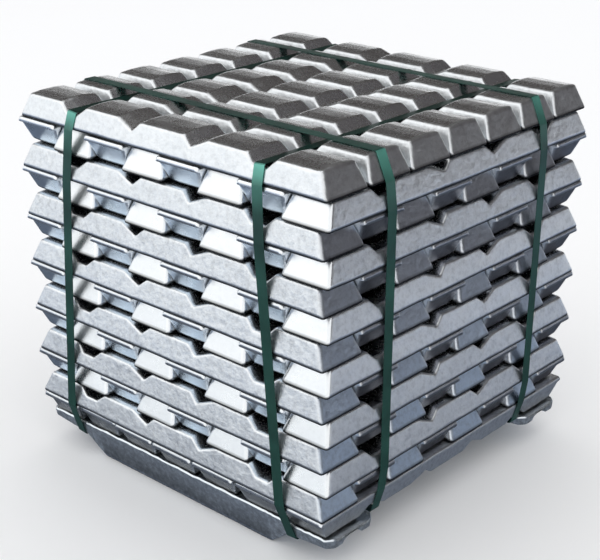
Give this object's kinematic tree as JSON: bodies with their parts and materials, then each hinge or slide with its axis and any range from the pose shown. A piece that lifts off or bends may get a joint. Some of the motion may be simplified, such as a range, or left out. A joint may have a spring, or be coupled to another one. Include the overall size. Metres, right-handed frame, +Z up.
{
  "type": "aluminium ingot bundle",
  "caption": "Square strapped bundle of notched cast aluminium ingots, stacked crosswise in nested layers on two keeled foot bars.",
  "frame": {"origin": "centre of the bundle's footprint on the floor it stands on", "axes": "+Z up; +X along the top layer's ingots and the two foot bars; -Y is the face beside the front foot bar"},
  "size_m": [0.7142, 0.7142, 0.6774],
  "materials": {
    "ingot": "satin, as cast",
    "foot": "matt, as cast",
    "strap": "smooth, semi-gloss"
  },
  "bodies": {
    "root": {"layer_01": "ingot", "layer_02": "ingot", "layer_03": "ingot", "layer_04": "ingot", "layer_05": "ingot", "layer_06": "ingot", "layer_07": "ingot", "layer_08": "ingot", "layer_09": "ingot", "layer_10": "ingot", "layer_11": "ingot", "layer_12": "ingot", "layer_13": "ingot", "layer_14": "ingot", "foot_front": "foot", "foot_back": "foot", "strap_left": "strap", "strap_right": "strap", "strap_front": "strap", "strap_back": "strap"}
  },
  "joints": []
}
